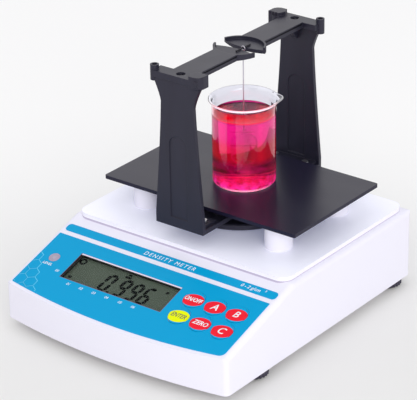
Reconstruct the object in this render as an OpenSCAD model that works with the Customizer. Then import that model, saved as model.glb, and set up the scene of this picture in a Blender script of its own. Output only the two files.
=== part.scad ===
// Benchtop density meter: a balance housing with a sloped panel carries a fixed platform on four legs.
// A weighing frame stands on the load cell, passes round the platform and holds a sinker in the beaker.
// Millimetres. Origin: centre of the housing's outline, on the table. Front is -Y, right is +X.

/* [Housing] */
// Width of the housing
body_w = 213.4; // [190:0.2:240]
// Length of the housing, from the middle of the bowed front to the back
body_l = 254; // [236:1:280]
// Height of the case, from its lower edge to its flat top
case_h = 57.2; // [50:0.2:70]
// Gap between the table and the case's lower edge
case_gap = 8; // [7:0.5:12]
// Wall of the upper case
wall = 2.5; // [2:0.1:3]
// How far the middle of the front bows out
front_bulge = 10; // [4:0.5:16]
// Radius of the upright corners
corner_r = 5; // [4:0.5:12]
// Radius of the top edges
shoulder_r = 4; // [3.2:0.1:5]
// Thickness of the base plate
base_t = 3; // [2:0.1:4]
// Play between parts that fit together
fit_gap = 0.3; // [0.1:0.05:0.4]

/* [Panel] */
// Slope of the front panel
panel_tilt = 17.5; // [15:0.5:20]
// Height of the panel's reference line above the case's lower edge
panel_front_h = 31.3; // [28:0.1:34]
// Distance of the panel's reference line from the front of the housing
panel_inset = 11; // [10:0.5:14]
// Width of the blue panel sheet
overlay_w = 203.6; // [180:0.2:204]
// Length of the blue panel sheet, up the slope
overlay_l = 68.8; // [64:0.2:69]
// Thickness of the panel sheet and the header strip
overlay_t = 0.4; // [0.3:0.05:0.6]
// Height of the header strip, up the slope
header_h = 7.7; // [6:0.1:9]
// Bare gap between the panel sheet and the header strip
header_gap = 4.5; // [3:0.1:5]

/* [Display] */
// Width of the display opening
lcd_w = 98.4; // [80:0.2:104]
// Height of the display opening, up the slope
lcd_h = 28.6; // [22:0.2:32]
// Middle of the display opening, across the housing
lcd_x = -19.6; // [-24:0.2:-16]
// Middle of the display opening, up the slope
lcd_s = 33.9; // [30:0.1:36]
// Depth of the clear pane below the panel
pane_drop = 1.2; // [0.8:0.1:1.6]
// Thickness of the display cell
lcd_cell_t = 2.6; // [2:0.1:3]

/* [Keys] */
// Diameter of a key
key_d = 17; // [14:0.2:18]
// Spacing of the keys across the panel
key_pitch_x = 20.05; // [19:0.05:22]
// Spacing of the keys up the slope
key_pitch_s = 18.9; // [18.8:0.1:21]
// Middle of the left column of keys
key_x = 45.8; // [44:0.1:48]
// Middle of the lower row of keys, up the slope
key_s = 22.1; // [20:0.1:24]
// Thickness of a key's disc
key_t = 1; // [0.8:0.1:1.2]
// Travel of a key
key_travel = 0.5; // [0.3:0.05:0.6]
// Diameter of a key's plunger
plunger_d = 6; // [4:0.5:8]

/* [Bubble level] */
// Diameter of the level's cup
vial_d = 9; // [7:0.1:10]
// Middle of the level, across the housing
vial_x = -87.1; // [-90:0.1:-84]
// Middle of the level, up the slope
vial_s = 35.6; // [30:0.1:40]

/* [Tray and platform] */
// Distance of the weighing axis behind the middle of the housing
weigh_y = 43; // [40:0.5:44]
// Width of the raised tray
tray_w = 203; // [185:0.5:205]
// Depth of the raised tray, front to back
tray_l = 161; // [150:0.5:161]
// Corner radius of the tray
tray_r = 10; // [6:0.5:16]
// Height of the tray above the case's flat top
tray_h = 3.8; // [3.4:0.1:6]
// Diameter of a platform leg
leg_d = 22; // [16:0.5:26]
// Height of a platform leg
leg_h = 21.7; // [20.5:0.1:30]
// Spacing of the legs, side to side
leg_pitch_x = 128; // [124:1:150]
// Spacing of the legs, front to back
leg_pitch_y = 75; // [70:1:84]
// Width of the platform plate
plate_w = 184.2; // [176:0.2:200]
// Depth of the platform plate, front to back
plate_l = 112.5; // [104:0.5:130]
// Thickness of the platform plate
plate_t = 3; // [2:0.1:5]

/* [Beaker] */
// Outer diameter of the beaker
beaker_d = 50; // [40:0.5:56]
// Height of the beaker
beaker_h = 70; // [60:0.5:80]
// Wall of the beaker
glass_t = 1.4; // [1:0.1:2]
// How far the rim flares out
rim_flare = 2.7; // [1.5:0.1:3.5]
// Depth of the liquid
fill_h = 55; // [50:0.5:60]
// Place of the beaker's axis, across the platform
beaker_x = 3.5; // [0:0.5:6]
// Direction of the spout, from the right towards the back
spout_turn = 39; // [0:1:90]

/* [Weighing frame] */
// Distance between the outer faces of the two uprights
frame_l = 156; // [140:1:164]
// Thickness of an upright
upright_t = 3.2; // [2.5:0.1:4]
// Width of an upright at its foot
upright_w = 45.4; // [40:0.2:50]
// Width of an upright at its waist
waist_w = 30.6; // [28:0.2:36]
// Width of an upright under its cap
flare_w = 45; // [40:0.2:46]
// Height of the waist above the foot
waist_h = 102; // [90:1:106]
// Height of an upright
upright_h = 120.1; // [116:0.1:130]
// Gap between the tray and the hub disc
hub_gap = 2.2; // [1.5:0.1:4]
// Diameter of the hub disc
hub_d = 97; // [80:1:100]
// Thickness of the hub disc at its edge
hub_t = 5.8; // [4:0.1:7]
// Height of the hub's boss above the disc
hub_boss_h = 4.4; // [3:0.1:8]
// Thickness of the cross bar
bar_t = 3.5; // [2.5:0.1:4.5]
// Thickness of the top arms
arm_t = 5; // [4:0.1:7]
// Width of a top arm
arm_w = 21.6; // [16:0.2:26]
// Depth of the cap on an upright, front to back
cap_l = 11.5; // [10:0.1:14]
// Gap between the two heads
head_gap = 4.8; // [4.4:0.1:6]
// Diameter of the round dish that the two heads form together
head_d = 41; // [36:0.2:46]
// Depth of the dish below its rim
dish_drop = 2.2; // [1.5:0.1:2.4]

/* [Hanger] */
// Diameter of the bar that lies across the heads
hook_d = 1.2; // [1:0.1:2]
// Diameter of the wire
wire_d = 0.9; // [0.6:0.1:1]
// Diameter of the sinker
sinker_d = 15; // [10:0.5:18]
// Length of the sinker
sinker_h = 26; // [20:0.5:30]
// Height of the sinker's lowest point above the platform
sinker_lift = 17; // [14:0.5:20]

/* [Weighing cell] */
// Length of the load cell
cell_l = 80; // [70:1:100]
// Side of the load cell's square section
cell_side = 12.7; // [12:0.1:14]
// Thickness of the cell's base plate
cell_base_t = 4; // [3:0.1:5]
// Height of the pads that hold the cell clear of its plates
cell_pad_t = 3; // [2:0.1:4]
// Diameter of the post under the hub
spigot_d = 16; // [12:0.5:18]
// Travel of the weighing frame
weigh_travel = 0.4; // [0.2:0.05:0.5]

/* [Feet] */
// Diameter of a foot's wheel
foot_d = 25; // [20:0.5:26]
// Height of a foot's wheel
foot_h = 4; // [3:0.1:4.2]
// Number of teeth on a foot's wheel
foot_teeth = 24; // [16:1:32]
// Diameter of a foot's screw
stud_d = 6; // [5:0.5:8]
// Length of a foot's screw above its wheel
stud_l = 17; // [14:0.5:20]
// Diameter of the rubber pad
pad_d = 18; // [14:0.5:20]
// Thickness of the rubber pad
pad_t = 2; // [1.5:0.1:2.2]
// Distance of a foot's axis from the side of the housing
foot_side = 14.2; // [13.6:0.1:18]
// Distance of a front foot's axis from the front of the housing
foot_front = 59.5; // [40:0.5:70]
// Distance of a back foot's axis from the back of the housing
foot_back = 14; // [13:0.5:20]

/* [Hidden] */

// Everything round is drawn finely; the fine value is for the wide bow of the front.
$fn = 64;
wide_fn = 720;
eps = 0.01;
far = 400;
left = -1;
right = 1;
front = -1;
back = 1;

// Levels above the table
case_top = case_gap + case_h;
base_top = case_gap + base_t;
tray_top = case_top + tray_h;
plate_z = tray_top + leg_h;
plate_top = plate_z + plate_t;
hub_z = tray_top + hub_gap;
bar_z = hub_z + hub_t + hub_boss_h;
bar_top = bar_z + bar_t;
cap_z = bar_z + upright_h;
arm_top = cap_z + arm_t;
dish_z = arm_top - dish_drop;

// The panel's reference line
panel_y = panel_inset - body_l / 2;
panel_z = case_gap + panel_front_h;

// Sheets on the panel, along the slope
slope_round = 0.5;
overlay_top_s = 61;
overlay_corner_r = 5;
overlay_bulge = 8.4;
header_r = 3;
header_x = 0.7;

// Boards behind the panel
pane_margin = 1.6;
pane_t = wall - pane_drop;
cell_margin = 6;
front_board_top = -(wall + fit_gap + lcd_cell_t);
front_board_t = 1.6;
front_board_x = [-76, 90.5];
front_board_s = [6, 60];
board_post_d = 5;
key_proud = 0.3;
key_cut_d = key_d + 2 * fit_gap;
key_bottom = overlay_t + key_proud - key_t;
key_cut_depth = key_travel + 0.5;
plunger_end = -(wall + 0.5);
switch_side = 6;
switch_h = plunger_end - key_travel - 0.1 - front_board_top;

// Level
vial_depth = 6;
vial_flange_d = vial_d + 4;
vial_wall = 0.8;
vial_glass_t = 1.8;

// Case screws and feet
case_screw_x = body_w / 2 - 10.7;
case_screw_y = [-98, 22, 88];
case_post_d = 8;
case_screw_d = 2.9;
case_screw_l = 14;
case_head_d = 6;
case_head_h = 1.8;
pilot_play = 0.05;
foot_x = body_w / 2 - foot_side;
foot_front_y = foot_front - body_l / 2;
foot_back_y = body_l / 2 - foot_back;
insert_d = 10;
insert_l = 12;
insert_z = case_gap + 1;
foot_boss_d = 17;
foot_boss_h = insert_z + insert_l - base_top;
stud_play = 0.1;
tooth_depth = 0.9;

// Weighing cell
cell_z = base_top + cell_base_t + cell_pad_t;
cell_top = cell_z + cell_side;
bracket_z = cell_top + cell_pad_t;
bracket_t = 3.5;
bracket_w = 20;
bracket_back = 12;
end_l = 20;
spigot_flange_d = 20;
spigot_flange_h = 2.8;
spigot_z = bracket_z + bracket_t;
socket_depth = 4;
spigot_hole_d = spigot_d + 5;
cell_base_l = 110;
cell_base_w = 40;
m4_d = 4;
m4_head_d = 7;
m4_head_h = 2.5;
screw_play = 0.1;

// Boards
board_x = [-80, -24];
board_l = 53;
board_back_gap = 8;
board_y = [body_l / 2 - board_back_gap - board_l, body_l / 2 - board_back_gap];
board_z = 20;
board_t = 1.6;
board_post_inset = 4;
// What stands on the main board: places from its back left corner
chip_at = [26, -35];
chip_size = [20, 24, 5];
driver_at = [2, -35];
driver_size = [12, 16, 2.4];
header_at = [34, -51];
header_size = [16, 8, 8];
capacitor_at = [[20, -39], [20, -25]];
capacitor_d = [8, 6.3];
capacitor_h = [12, 11];
jack_x = -62;
jack_w = 9;
jack_h = 11;
jack_l = 14;
jack_bore_d = 6.4;
jack_bore_l = 9.5;
jack_pin_d = 2;
ribbon_x = -64;
ribbon_inset = 4;
ribbon_y = board_y[0] + ribbon_inset;
ribbon_fold_y = -30;
ribbon_end_s = 52;
ribbon_w = 20;
ribbon_t = 0.7;
ribbon_z = 27;

// Frame
upright_y = frame_l / 2 - upright_t;
upright_foot_w = 40;
upright_foot_l = 16;
upright_foot_t = 2;
bar_screw_x = 14.5;
bar_screw_d = 3;
bar_screw_head_d = 5.5;
bar_screw_head_h = 1.8;
channel_w = 16.5;
channel_top = 76;
channel_foot = 8;
channel_depth = 0.6;
ear_tube_d = 6.8;
ear_tube_x = -22.7;
ear_tube_drop = 3.5;
ear_rise = 3.6;
ear_block_x = 12;
ear_block_w = 10;
ear_block_r = 6;
ear_block_drop = 2;
ear_block_rise = 2.8;
ear_play = 0.1;
flute_d = 2;
cap_left = -23;
cap_proud = 1;
arm_hole_d = 7;
arm_hole_depth = 3;
arm_screw_d = 3;
arm_screw_head_h = 2.4;
arm_hole_y = 6.5;
rib_w = 4;
rib_drop = 12;
head_rim = 1.6;
head_bow_r = 48;
tip_rise = 1.6;

// Beaker and hanger
beaker_floor = 2;
beaker_base_r = 4;
flare_h = 5.5;
spout_inset = 3;
spout_r = 9;
spout_h = 9;
liquid_play = 0.1;
sinker_play = 0.5;
hook_l = 18;
hook_play = 0.15;
hook_z = dish_z + hook_d / 2 + hook_play;
hanger_x = beaker_x;
ring_r = 1.5;
ring_play = 0.1;
ring_z = hook_z + hook_d / 2 + wire_d / 2 + ring_play - ring_r;
sinker_z = plate_top + sinker_lift;
sinker_neck_h = 3;
sinker_neck_d = 3;

// ---- Helpers ----

// Outline with a bowed front edge, true arcs throughout; origin in the middle.
module bowed_outline(w, l, bulge, r_left, r_right, r_back) {
    bow = (w * w / 4 + bulge * bulge) / (2 * bulge);
    bow_y = bow - l / 2;
    difference() {
        intersection() {
            translate([0, bow_y]) circle(r = bow, $fn = wide_fn);
            square([w, l], center = true);
        }
        bow_corner_cut(w, bow, bow_y, r_left, left);
        bow_corner_cut(w, bow, bow_y, r_right, right);
        back_corner_cut(w, l, r_back, left);
        back_corner_cut(w, l, r_back, right);
    }
    for (c = [[left, r_left], [right, r_right]])
        translate([c[0] * (w / 2 - c[1]), bow_corner_y(w, bow, bow_y, c[1])]) circle(r = c[1]);
    for (side = [left, right])
        translate([side * (w / 2 - r_back), l / 2 - r_back]) circle(r = r_back);
}

// Where a corner's arc has its centre, so that it meets the bow without a kink
function bow_corner_y(w, bow, bow_y, r) = bow_y - sqrt(pow(bow - r, 2) - pow(w / 2 - r, 2));

module bow_corner_cut(w, bow, bow_y, r, side) {
    cx = w / 2 - r;
    cy = bow_corner_y(w, bow, bow_y, r);
    reach = r + 3;
    toward = [cx, cy - bow_y] / (bow - r);
    polygon([[side * cx, cy], [side * (cx + reach), cy], [side * (cx + reach), cy - reach],
        [side * (cx + toward[0] * reach), cy + toward[1] * reach]]);
}

module back_corner_cut(w, l, r, side) {
    translate([side * w / 2, l / 2]) square(2 * r, center = true);
}

module rounded_rect(w, l, r) {
    square([w - 2 * r, l], center = true);
    square([w, l - 2 * r], center = true);
    for (x = [left, right])
        for (y = [front, back])
            translate([x * (w / 2 - r), y * (l / 2 - r)]) circle(r = r);
}

// Cross section with round shoulders at +-half and z = top; it widens below, clear of the sides.
module shoulder_profile(half, top, r, depth) {
    flare = 6;
    polygon([[-half - flare, top - depth], [half + flare, top - depth], [half, top - r],
        [half - r, top], [r - half, top], [-half, top - r]]);
    for (side = [left, right])
        translate([side * (half - r), top - r]) circle(r = r);
}

module on_panel() {
    translate([0, panel_y, panel_z]) rotate([panel_tilt, 0, 0]) children();
}

module at_weighing_axis() {
    translate([0, weigh_y, 0]) children();
}

// The case's outer form, moved in by inset all round
module case_solid(inset, bottom) {
    half = body_w / 2 - inset;
    r = shoulder_r - inset;
    intersection() {
        translate([0, 0, bottom])
            linear_extrude(height = far)
                bowed_outline(body_w - 2 * inset, body_l - 2 * inset, front_bulge,
                    corner_r - inset, corner_r - inset, corner_r - inset);
        rotate([90, 0, 0])
            linear_extrude(height = far, center = true) shoulder_profile(half, case_top - inset, r, far / 4);
        on_panel()
            rotate([90, 0, 0])
                linear_extrude(height = far * 2, center = true)
                    shoulder_profile(half, -inset, r + slope_round, far / 2);
        back_edge(inset, r);
    }
}

// Round edge along the top of the back
module back_edge(inset, r) {
    y = body_l / 2 - inset;
    top = case_top - inset;
    rotate([90, 0, 90])
        linear_extrude(height = far, center = true) {
            polygon([[-far, -far], [y + 6, -far / 4], [y, top - r], [y - r, top], [-far, top]]);
            translate([y - r, top - r]) circle(r = r);
        }
}

module at_case_screws() {
    for (side = [left, right])
        for (y = case_screw_y)
            translate([side * case_screw_x, y, 0]) children();
}

module at_feet() {
    for (side = [left, right])
        for (y = [foot_front_y, foot_back_y])
            translate([side * foot_x, y, 0]) children();
}

module at_board_posts() {
    for (x = [board_x[0] + board_post_inset, board_x[1] - board_post_inset])
        for (y = [board_y[0] + board_post_inset, board_y[1] - board_post_inset])
            translate([x, y, 0]) children();
}

module at_key(column, row) {
    on_panel() translate([key_x + column * key_pitch_x, key_s + row * key_pitch_s, 0]) children();
}

module at_all_keys() {
    for (column = [0, 1, 2])
        for (row = [0, 1])
            at_key(column, row) children();
}

module screw(d, l, head_d, head_h) {
    translate([0, 0, -l]) cylinder(d = d, h = l + eps);
    cylinder(d = head_d, h = head_h);
}

// ---- Housing ----

module upper_case() {
    color("white")
        difference() {
            union() {
                difference() {
                    case_solid(0, case_gap);
                    case_solid(wall, 0);
                }
                intersection() {
                    case_solid(wall / 2, case_gap);
                    union() {
                        at_case_screws() translate([0, 0, base_top]) cylinder(d = case_post_d, h = case_h);
                        front_board_posts();
                    }
                }
            }
            at_case_screws()
                translate([0, 0, base_top - eps])
                    cylinder(d = case_screw_d + 2 * pilot_play, h = case_screw_l + 1);
            on_panel() translate([lcd_x, lcd_s, 0]) cube([lcd_w, lcd_h, far / 8], center = true);
            on_panel()
                translate([lcd_x, lcd_s, -pane_drop - wall])
                    cube([lcd_w + 2 * (pane_margin + fit_gap), lcd_h + 2 * (pane_margin + fit_gap), 2 * wall],
                        center = true);
            at_all_keys() translate([0, 0, -key_cut_depth]) cylinder(d = key_cut_d, h = far / 8);
            at_all_keys() translate([0, 0, -wall * 2]) cylinder(d = plunger_d + 2 * fit_gap, h = far / 8);
            on_panel() translate([vial_x, vial_s, -far / 16]) cylinder(d = vial_d + fit_gap, h = far / 8);
            at_weighing_axis() translate([0, 0, case_top - far / 16]) cylinder(d = spigot_hole_d, h = far / 8);
            translate([jack_x, body_l / 2, board_z + board_t + jack_h / 2])
                cube([jack_w + 2 * fit_gap, 4 * wall, jack_h + 2 * fit_gap], center = true);
        }
}

module front_board_posts() {
    inset = board_post_d;
    on_panel()
        for (x = [front_board_x[0] + inset, front_board_x[1] - inset])
            for (s = [front_board_s[0] + inset, front_board_s[1] - inset])
                translate([x, s, front_board_top]) cylinder(d = board_post_d, h = -front_board_top);
}

module lower_case() {
    inset = wall + fit_gap;
    color("whitesmoke")
        difference() {
            union() {
                translate([0, 0, case_gap])
                    linear_extrude(height = base_t)
                        bowed_outline(body_w - 2 * inset, body_l - 2 * inset, front_bulge,
                            corner_r - inset, corner_r - inset, corner_r - inset);
                at_feet() translate([0, 0, base_top - eps]) cylinder(d = foot_boss_d, h = foot_boss_h + eps);
                at_board_posts() translate([0, 0, base_top - eps]) cylinder(d = 6, h = board_z - base_top + eps);
            }
            at_feet() cylinder(d = insert_d + 2 * pilot_play, h = far / 8);
            at_case_screws() cylinder(d = case_screw_d + 2 * pilot_play, h = far / 8);
            at_case_screws() cylinder(d = case_head_d + fit_gap, h = case_gap + case_head_h);
            at_cell_base_screws() cylinder(d = m4_d + 2 * screw_play, h = far / 8);
        }
}

module case_screws() {
    color("silver")
        at_case_screws()
            translate([0, 0, case_gap + case_head_h])
                rotate([180, 0, 0]) screw(case_screw_d, case_screw_l, case_head_d, case_head_h - fit_gap);
}

module top_tray() {
    skirt = 3;
    roof = 2.3;
    color("white")
        difference() {
            at_weighing_axis()
                translate([0, 0, case_top - tray_h])
                    linear_extrude(height = 2 * tray_h)
                        difference() {
                            rounded_rect(tray_w, tray_l, tray_r);
                            circle(d = spigot_hole_d);
                        }
            case_solid(0, case_gap);
            at_weighing_axis()
                translate([0, 0, case_top - tray_h])
                    linear_extrude(height = 2 * tray_h - roof)
                        difference() {
                            rounded_rect(tray_w - 2 * skirt, tray_l - 2 * skirt, tray_r - skirt);
                            circle(d = spigot_hole_d + 2 * skirt);
                        }
        }
}

// ---- Panel ----

module panel_overlay() {
    color("deepskyblue")
        on_panel()
            linear_extrude(height = overlay_t)
                difference() {
                    translate([0, overlay_top_s - overlay_l / 2])
                        bowed_outline(overlay_w, overlay_l, overlay_bulge, 1, overlay_corner_r, 0.5);
                    translate([lcd_x, lcd_s]) square([lcd_w, lcd_h], center = true);
                    translate([vial_x, vial_s]) circle(d = vial_d + fit_gap);
                    for (column = [0, 1, 2])
                        for (row = [0, 1])
                            translate([key_x + column * key_pitch_x, key_s + row * key_pitch_s])
                                circle(d = key_cut_d);
                }
}

module header_strip() {
    color("deepskyblue")
        on_panel()
            translate([header_x, overlay_top_s + header_gap + header_h / 2, 0])
                linear_extrude(height = overlay_t) rounded_rect(overlay_w, header_h, header_r);
}

module lcd_window() {
    color("lightblue", 0.4)
        on_panel()
            translate([lcd_x, lcd_s, -pane_drop - pane_t / 2])
                cube([lcd_w + 2 * pane_margin, lcd_h + 2 * pane_margin, pane_t], center = true);
}

module lcd_glass() {
    color("darkseagreen")
        on_panel()
            translate([lcd_x, lcd_s, front_board_top + lcd_cell_t / 2])
                cube([lcd_w + cell_margin, lcd_h + cell_margin, lcd_cell_t], center = true);
}

module front_board() {
    color("darkgreen")
        on_panel()
            translate([front_board_x[0], front_board_s[0], front_board_top - front_board_t])
                cube([front_board_x[1] - front_board_x[0], front_board_s[1] - front_board_s[0], front_board_t]);
}

module key_switches() {
    color("dimgray")
        at_all_keys()
            translate([-switch_side / 2, -switch_side / 2, front_board_top])
                cube([switch_side, switch_side, switch_h]);
}

module key(column, row, tint) {
    color(tint)
        at_key(column, row) {
            translate([0, 0, key_bottom]) cylinder(d = key_d, h = key_t);
            translate([0, 0, plunger_end]) cylinder(d = plunger_d, h = key_bottom - plunger_end + eps);
        }
}

module key_enter() {
    key(0, 0, "yellow");
}

module key_zero() {
    key(1, 0, "red");
}

module key_c() {
    key(2, 0, "red");
}

module key_on_off() {
    key(0, 1, "red");
}

module key_a() {
    key(1, 1, "red");
}

module key_b() {
    key(2, 1, "red");
}

module vial_cup() {
    color("rosybrown")
        on_panel()
            translate([vial_x, vial_s, 0])
                difference() {
                    union() {
                        translate([0, 0, -vial_depth]) cylinder(d = vial_d, h = vial_depth + overlay_t);
                        translate([0, 0, -wall - 1.2]) cylinder(d = vial_flange_d, h = 1.2);
                    }
                    translate([0, 0, 1 - vial_depth]) cylinder(d = vial_d - 2 * vial_wall, h = far / 8);
                }
}

module vial_lens() {
    color("gainsboro", 0.6)
        on_panel()
            translate([vial_x, vial_s, overlay_t - vial_glass_t])
                cylinder(d = vial_d - 2 * vial_wall - 2 * pilot_play, h = vial_glass_t);
}

// ---- Electronics ----

module main_board() {
    color("darkgreen")
        translate([board_x[0], board_y[0], board_z])
            cube([board_x[1] - board_x[0], board_y[1] - board_y[0], board_t]);
}

module board_parts() {
    top = board_z + board_t;
    color("dimgray")
        translate([board_x[0], board_y[1], top]) {
            translate(chip_at) cube(chip_size);
            translate(driver_at) cube(driver_size);
            translate(header_at) cube(header_size);
            for (i = [0, 1])
                translate(capacitor_at[i]) cylinder(d = capacitor_d[i], h = capacitor_h[i]);
        }
}

module dc_jack() {
    color("black")
        translate([jack_x, body_l / 2, board_z + board_t + jack_h / 2])
            rotate([90, 0, 0]) {
                difference() {
                    translate([0, 0, jack_l / 2]) cube([jack_w, jack_h, jack_l], center = true);
                    translate([0, 0, -eps]) cylinder(d = jack_bore_d, h = jack_bore_l + eps);
                }
                translate([0, 0, 1]) cylinder(d = jack_pin_d, h = jack_bore_l);
            }
}

module ribbon_cable() {
    start = board_z + board_t;
    end_y = panel_y + ribbon_end_s * cos(panel_tilt) - (front_board_top - front_board_t) * sin(panel_tilt);
    end_z = panel_z + ribbon_end_s * sin(panel_tilt) + (front_board_top - front_board_t) * cos(panel_tilt);
    path = [[ribbon_y, start], [ribbon_y, ribbon_z], [ribbon_fold_y, ribbon_z], [end_y, end_z - 0.5]];
    shift = [-ribbon_t, -ribbon_t];
    back_path = [[ribbon_y - ribbon_t, start], for (i = [1, 2]) path[i] + shift, path[3] + [-ribbon_t, 0]];
    color("lightgray")
        translate([ribbon_x - ribbon_w / 2, 0, 0])
            rotate([90, 0, 90])
                linear_extrude(height = ribbon_w)
                    polygon([for (p = path) p, for (i = [3:-1:0]) back_path[i]]);
}

// ---- Weighing cell ----

module at_cell_base_screws() {
    at_weighing_axis()
        for (x = [left, right])
            for (y = [front, back])
                translate([x * (cell_base_l / 2 - 6), y * (cell_base_w / 2 - 6), 0]) children();
}

module at_cell_ends(side) {
    at_weighing_axis()
        for (step = [5, 15])
            translate([side * (cell_l / 2 - step), 0, 0]) children();
}

module cell_base() {
    color("silver")
        difference() {
            at_weighing_axis() {
                translate([-cell_base_l / 2, -cell_base_w / 2, base_top])
                    cube([cell_base_l, cell_base_w, cell_base_t]);
                translate([-cell_l / 2, -cell_side / 2, base_top])
                    cube([end_l, cell_side, cell_base_t + cell_pad_t]);
            }
            at_cell_base_screws() cylinder(d = m4_d + 2 * screw_play, h = far / 8);
            at_cell_ends(left) translate([0, 0, base_top - eps]) cylinder(d = m4_d + 2 * screw_play, h = far / 8);
        }
}

module cell_screws() {
    color("gray") {
        at_cell_base_screws()
            translate([0, 0, base_top + cell_base_t])
                screw(m4_d, cell_base_t + base_t - 0.5, m4_head_d, m4_head_h);
        at_cell_ends(left)
            translate([0, 0, cell_top]) screw(m4_d, cell_top - base_top - 1, m4_head_d, m4_head_h);
    }
}

module load_cell() {
    hole = 8.4;
    spread = 9;
    color("gainsboro")
        difference() {
            at_weighing_axis()
                translate([-cell_l / 2, -cell_side / 2, cell_z]) cube([cell_l, cell_side, cell_side]);
            at_weighing_axis()
                translate([0, 0, cell_z + cell_side / 2])
                    rotate([90, 0, 0]) {
                        for (side = [left, right])
                            translate([side * spread, 0, 0]) cylinder(d = hole, h = far / 8, center = true);
                        cube([2 * spread, hole / 3, far / 8], center = true);
                    }
            at_cell_ends(left) cylinder(d = m4_d + 2 * screw_play, h = far);
            at_cell_ends(right) cylinder(d = m4_d + 2 * screw_play, h = far);
        }
}

module cell_bracket() {
    color("silver")
        difference() {
            at_weighing_axis() {
                translate([-bracket_back, -bracket_w / 2, bracket_z])
                    cube([cell_l / 2 + bracket_back, bracket_w, bracket_t]);
                translate([cell_l / 2 - end_l, -cell_side / 2, cell_top])
                    cube([end_l, cell_side, cell_pad_t + bracket_t]);
            }
            at_cell_ends(right) cylinder(d = m4_d + 2 * screw_play, h = far);
        }
}

module bracket_screws() {
    color("gray")
        at_cell_ends(right)
            translate([0, 0, spigot_z]) screw(m4_d, bracket_t + cell_pad_t + 7, m4_head_d, m4_head_h);
}

module spigot() {
    top = hub_z + socket_depth;
    color("silver")
        at_weighing_axis()
            difference() {
                union() {
                    translate([0, 0, spigot_z]) cylinder(d = spigot_flange_d, h = spigot_flange_h);
                    translate([0, 0, spigot_z]) cylinder(d = spigot_d, h = top - spigot_z);
                }
                translate([0, 0, top - 12]) cylinder(d = m4_d + 2 * screw_play, h = far / 8);
            }
}

// ---- Platform ----

module leg(x, y) {
    color("white")
        at_weighing_axis()
            translate([x * leg_pitch_x / 2, y * leg_pitch_y / 2, tray_top]) cylinder(d = leg_d, h = leg_h);
}

module leg_front_left() {
    leg(left, front);
}

module leg_front_right() {
    leg(right, front);
}

module leg_back_left() {
    leg(left, back);
}

module leg_back_right() {
    leg(right, back);
}

module bridge_plate() {
    color("#26262b")
        at_weighing_axis()
            translate([0, 0, plate_z]) linear_extrude(height = plate_t) rounded_rect(plate_w, plate_l, 1.5);
}

// ---- Beaker ----

module at_beaker() {
    translate([beaker_x, weigh_y, plate_top]) children();
}

function arc_points(cx, cy, r, from, to, steps) =
    [for (i = [0:steps]) [cx + r * cos(from + (to - from) * i / steps), cy + r * sin(from + (to - from) * i / steps)]];

module beaker_section() {
    r = beaker_d / 2;
    inner = r - glass_t;
    neck = beaker_h - flare_h;
    polygon(concat(
        [[0, 0]],
        arc_points(r - beaker_base_r, beaker_base_r, beaker_base_r, -90, 0, 6),
        [[r, neck], [r + rim_flare * 0.3, neck + flare_h * 0.6], [r + rim_flare, beaker_h - 0.6],
            [r + rim_flare - 0.5, beaker_h], [r + rim_flare - 1.3, beaker_h - 0.3],
            [inner + rim_flare * 0.25, neck + flare_h * 0.6], [inner, neck]],
        arc_points(inner - beaker_base_r + glass_t, beaker_floor + beaker_base_r - glass_t,
            beaker_base_r - glass_t, 0, -90, 6),
        [[0, beaker_floor]]));
}

// The room inside the beaker, open at the top
module beaker_room() {
    inner = beaker_d / 2 - glass_t;
    neck = beaker_h - flare_h;
    lip = beaker_d / 2 + rim_flare - 1.3;
    rotate_extrude()
        polygon([[0, beaker_h / 2], [inner, beaker_h / 2], [inner, neck],
            [inner + rim_flare * 0.25, neck + flare_h * 0.6], [lip, beaker_h - 0.3],
            [lip, beaker_h + 1], [0, beaker_h + 1]]);
}

// Widening cone at the rim, in line with the spout
module spout_cone(inset) {
    translate([beaker_d / 2 - spout_inset, 0, beaker_h - spout_h])
        cylinder(r1 = spout_inset + 0.2 - inset, r2 = spout_r - inset, h = spout_h);
}

module beaker() {
    color("lightcyan", 0.4)
        at_beaker()
            rotate([0, 0, spout_turn]) {
                difference() {
                    rotate_extrude() beaker_section();
                    spout_cone(glass_t);
                    translate([0, 0, eps]) spout_cone(glass_t);
                }
                difference() {
                    spout_cone(0);
                    spout_cone(glass_t);
                    translate([0, 0, eps]) spout_cone(glass_t);
                    beaker_room();
                }
            }
}

module liquid() {
    r = beaker_d / 2 - glass_t - liquid_play;
    base_r = beaker_base_r - glass_t;
    color("deeppink", 0.9)
        difference() {
            at_beaker()
                rotate_extrude()
                    polygon(concat([[0, beaker_floor + liquid_play]],
                        arc_points(r - base_r, beaker_floor + base_r + liquid_play, base_r, -90, 0, 6),
                        [[r, beaker_floor + fill_h], [0, beaker_floor + fill_h]]));
            sinker_form(sinker_play);
            translate([hanger_x, weigh_y, sinker_z + sinker_h])
                cylinder(d = sinker_neck_d + 2 * sinker_play, h = far / 4);
        }
}

// ---- Weighing frame ----

module hub_disc() {
    edge = hub_d / 2;
    socket = spigot_d / 2 + pilot_play;
    bore = m4_d / 2 + screw_play;
    boss = 24;
    color("#26262b")
        at_weighing_axis()
            translate([0, 0, hub_z])
                rotate_extrude()
                    polygon([[bore, socket_depth], [socket, socket_depth], [socket, 0], [edge - 2.5, 0],
                        [edge, 1.8], [edge, hub_t - 1], [edge - 1, hub_t], [boss + 2, hub_t],
                        [boss, hub_t + hub_boss_h], [bore, hub_t + hub_boss_h]]);
}

module hub_screw() {
    color("silver")
        at_weighing_axis()
            translate([0, 0, bar_top]) screw(m4_d, bar_top - hub_z + 6, 8, 2.4);
}

module cross_bar() {
    color("#2b2b31")
        at_weighing_axis()
            difference() {
                translate([-upright_w / 2, -upright_y, bar_z]) cube([upright_w, 2 * upright_y, bar_t]);
                cylinder(d = m4_d + 2 * screw_play, h = far);
                for (turn = [0, 180])
                    rotate([0, 0, turn]) at_bar_screws() cylinder(d = bar_screw_d + 2 * screw_play, h = far);
            }
}

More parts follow.
